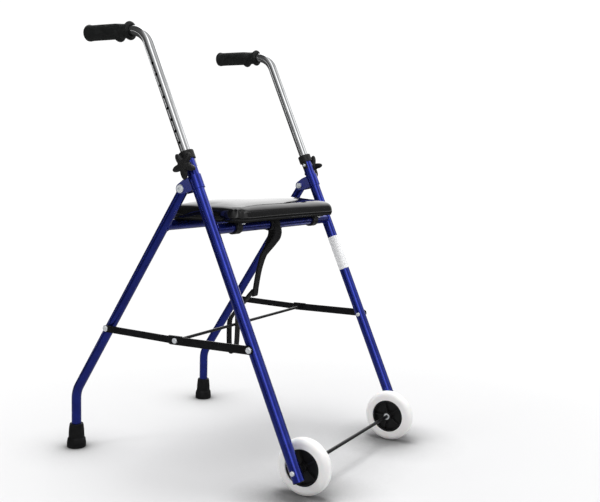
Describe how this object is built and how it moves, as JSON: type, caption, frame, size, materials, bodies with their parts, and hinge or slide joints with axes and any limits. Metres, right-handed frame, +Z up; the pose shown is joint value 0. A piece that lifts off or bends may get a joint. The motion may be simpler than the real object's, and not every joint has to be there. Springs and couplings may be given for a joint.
{
  "type": "folding rollator walker",
  "caption": "Folding walking frame with wheels in front, rubber feet behind, a padded seat, folding braces and telescopic handles with grips.",
  "frame": {"origin": "on the floor, under the middle of the overall box", "axes": "+Z up, the wheels towards -Y, the grips towards +Y, the user's right towards -X"},
  "size_m": [0.574, 0.677, 0.9711],
  "materials": {
    "blue_paint": "gloss",
    "chrome": "polished",
    "zinc": "satin",
    "black_plastic": "satin",
    "black_rubber": "matt",
    "white_tyre": "matt",
    "black_steel": "satin",
    "black_vinyl": "gloss",
    "board": "matt",
    "webbing": "woven",
    "label": "satin"
  },
  "bodies": {
    "front_frame": {"front_tube_right": "blue_paint", "front_tube_left": "blue_paint", "front_cross_tube": "blue_paint", "pivot_bracket_right": "blue_paint", "pivot_bracket_left": "blue_paint", "pivot_bolt_right": "zinc", "pivot_bolt_left": "zinc", "pivot_nuts": "zinc", "height_collar_right": "black_plastic", "height_collar_left": "black_plastic", "stud_inserts": "zinc", "collar_rivets": "zinc", "tube_end_plugs": "black_plastic", "axle_rod": "black_steel", "axle_caps": "zinc", "axle_spacers": "black_plastic", "axle_clips": "zinc", "label_wrap": "label", "front_brace_bolts": "zinc", "front_brace_spacers": "black_plastic", "strap": "webbing"},
    "rear_frame": {"rear_leg_right": "blue_paint", "rear_leg_left": "blue_paint", "rear_cross_tube": "blue_paint", "ferrule_right": "black_rubber", "ferrule_left": "black_rubber"},
    "brace_front": {"front_link_right": "black_steel", "front_link_left": "black_steel", "brace_rod": "black_steel", "mid_rivets": "zinc"},
    "brace_rear": {"rear_link_right": "black_steel", "rear_link_left": "black_steel", "rear_brace_bolts": "zinc"},
    "seat": {"seat_pad": "black_vinyl", "seat_board": "board", "seat_clips": "black_plastic", "clip_screws": "zinc", "seat_rests": "black_plastic"},
    "handle_right": {"handle_tube_right": "chrome", "grip_right": "black_rubber"},
    "knob_right": {"star_knob_right": "black_plastic", "knob_stud_right": "zinc"},
    "wheel_right": {"tyre_right": "white_tyre", "hub_right": "black_plastic", "wheel_bush_right": "black_plastic"},
    "handle_left": {"handle_tube_left": "chrome", "grip_left": "black_rubber"},
    "knob_left": {"star_knob_left": "black_plastic", "knob_stud_left": "zinc"},
    "wheel_left": {"tyre_left": "white_tyre", "hub_left": "black_plastic", "wheel_bush_left": "black_plastic"}
  },
  "joints": [
    {"name": "fold", "type": "hinge", "parent": "front_frame", "child": "rear_frame", "pos_m": [0, 0.00851, 0.618], "axis": [1, 0, 0], "range_deg": [-48, 0], "deforming": ["strap"]},
    {"name": "brace_front_turn", "type": "hinge", "parent": "front_frame", "child": "brace_front", "pos_m": [0, -0.17216, 0.298], "axis": [1, 0, 0], "range_deg": [0, 53.43]},
    {"name": "brace_rear_turn", "type": "hinge", "parent": "brace_front", "child": "brace_rear", "pos_m": [0, 0.01524, 0.2943], "axis": [1, 0, 0], "range_deg": [-155.14, 0]},
    {"name": "seat_tilt", "type": "hinge", "parent": "front_frame", "child": "seat", "pos_m": [0, -0.06605, 0.536], "axis": [1, 0, 0], "range_deg": [-11.6, 0]},
    {"name": "handle_slide_right", "type": "slide", "parent": "front_frame", "child": "handle_right", "axis": [0, 0.4072, 0.9133], "range_m": [-0.189, 0]},
    {"name": "knob_turn_right", "type": "hinge", "parent": "front_frame", "child": "knob_right", "pos_m": [-0.2748, -0.00771, 0.66685], "axis": [-1, 0, 0], "continuous": true},
    {"name": "wheel_spin_right", "type": "hinge", "parent": "front_frame", "child": "wheel_right", "pos_m": [-0.2145, -0.2781, 0.0604], "axis": [1, 0, 0], "continuous": true},
    {"name": "handle_slide_left", "type": "slide", "parent": "front_frame", "child": "handle_left", "axis": [0, 0.4072, 0.9133], "range_m": [-0.189, 0]},
    {"name": "knob_turn_left", "type": "hinge", "parent": "front_frame", "child": "knob_left", "pos_m": [0.2748, -0.00771, 0.66685], "axis": [1, 0, 0], "continuous": true},
    {"name": "wheel_spin_left", "type": "hinge", "parent": "front_frame", "child": "wheel_left", "pos_m": [0.2145, -0.2781, 0.0604], "axis": [1, 0, 0], "continuous": true}
  ],
  "couplings": [
    {"joint": "brace_front_turn", "follows": "fold", "ratio": -1.1006},
    {"joint": "brace_rear_turn", "follows": "fold", "ratio": 3.2195},
    {"joint": "seat_tilt", "follows": "fold", "ratio": 0.24}
  ]
}
